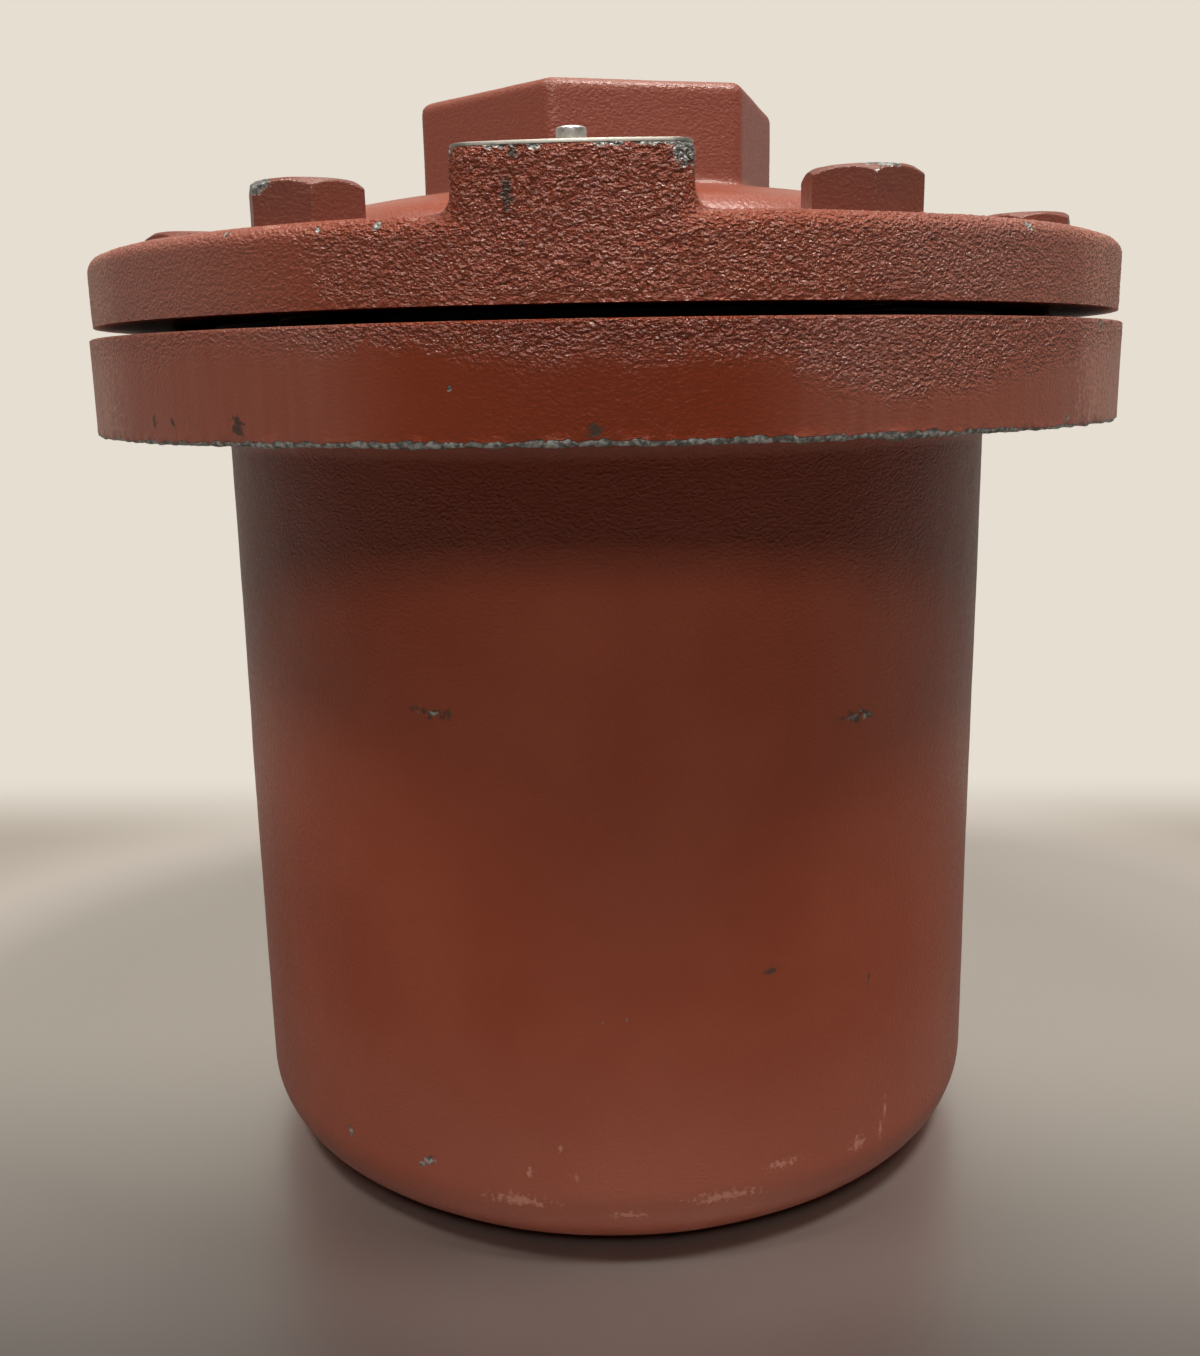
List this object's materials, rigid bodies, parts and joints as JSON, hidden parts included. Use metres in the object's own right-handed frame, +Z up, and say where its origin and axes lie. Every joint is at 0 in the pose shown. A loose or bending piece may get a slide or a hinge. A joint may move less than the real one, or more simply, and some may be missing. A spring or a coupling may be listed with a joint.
{
  "type": "air valve",
  "caption": "Cast flanged air valve with a bolted domed cover, hexagonal outlet boss, tag pad and a centre-guided ball float that lifts to close a soft seat.",
  "frame": {"origin": "centre of the base, on the surface that the valve stands on", "axes": "+Z up along the valve axis towards the outlet, -Y towards the tag pad on the cover's rim"},
  "size_m": [0.2286, 0.2286, 0.237],
  "materials": {
    "casting_paint": "red oxide paint on sand-cast iron",
    "screw_paint": "red oxide paint on steel, chipped at the corners",
    "rubber": "black moulded rubber",
    "stainless": "brushed stainless steel",
    "float_steel": "spun stainless steel",
    "bronze": "turned bronze",
    "tag_metal": "bare plate with a dull sheen",
    "bright_steel": "bright steel"
  },
  "bodies": {
    "valve": {"body": "casting_paint", "cover": "casting_paint", "cover_gasket": "rubber", "cover_screws": "screw_paint", "tag_plate": "tag_metal", "tag_screws": "bright_steel", "seat_ring": "rubber", "seat_retainer": "stainless", "seat_screws": "stainless", "guide_spider": "stainless", "upper_guide_bush": "bronze", "lower_guide_bush": "bronze", "bush_nut": "bronze", "float_bumper": "rubber", "baffle_plate": "stainless", "baffle_posts": "stainless", "baffle_screws": "stainless", "baffle_washers": "stainless"},
    "float": {"upper_stem": "stainless", "float_top_hub": "stainless", "float_upper_shell": "float_steel", "float_seam": "float_steel", "float_lower_shell": "float_steel", "float_bottom_hub": "stainless", "lower_stem": "stainless"}
  },
  "joints": [
    {"name": "float_lift", "type": "slide", "parent": "valve", "child": "float", "axis": [0, 0, 1], "range_m": [0, 0.024]}
  ]
}
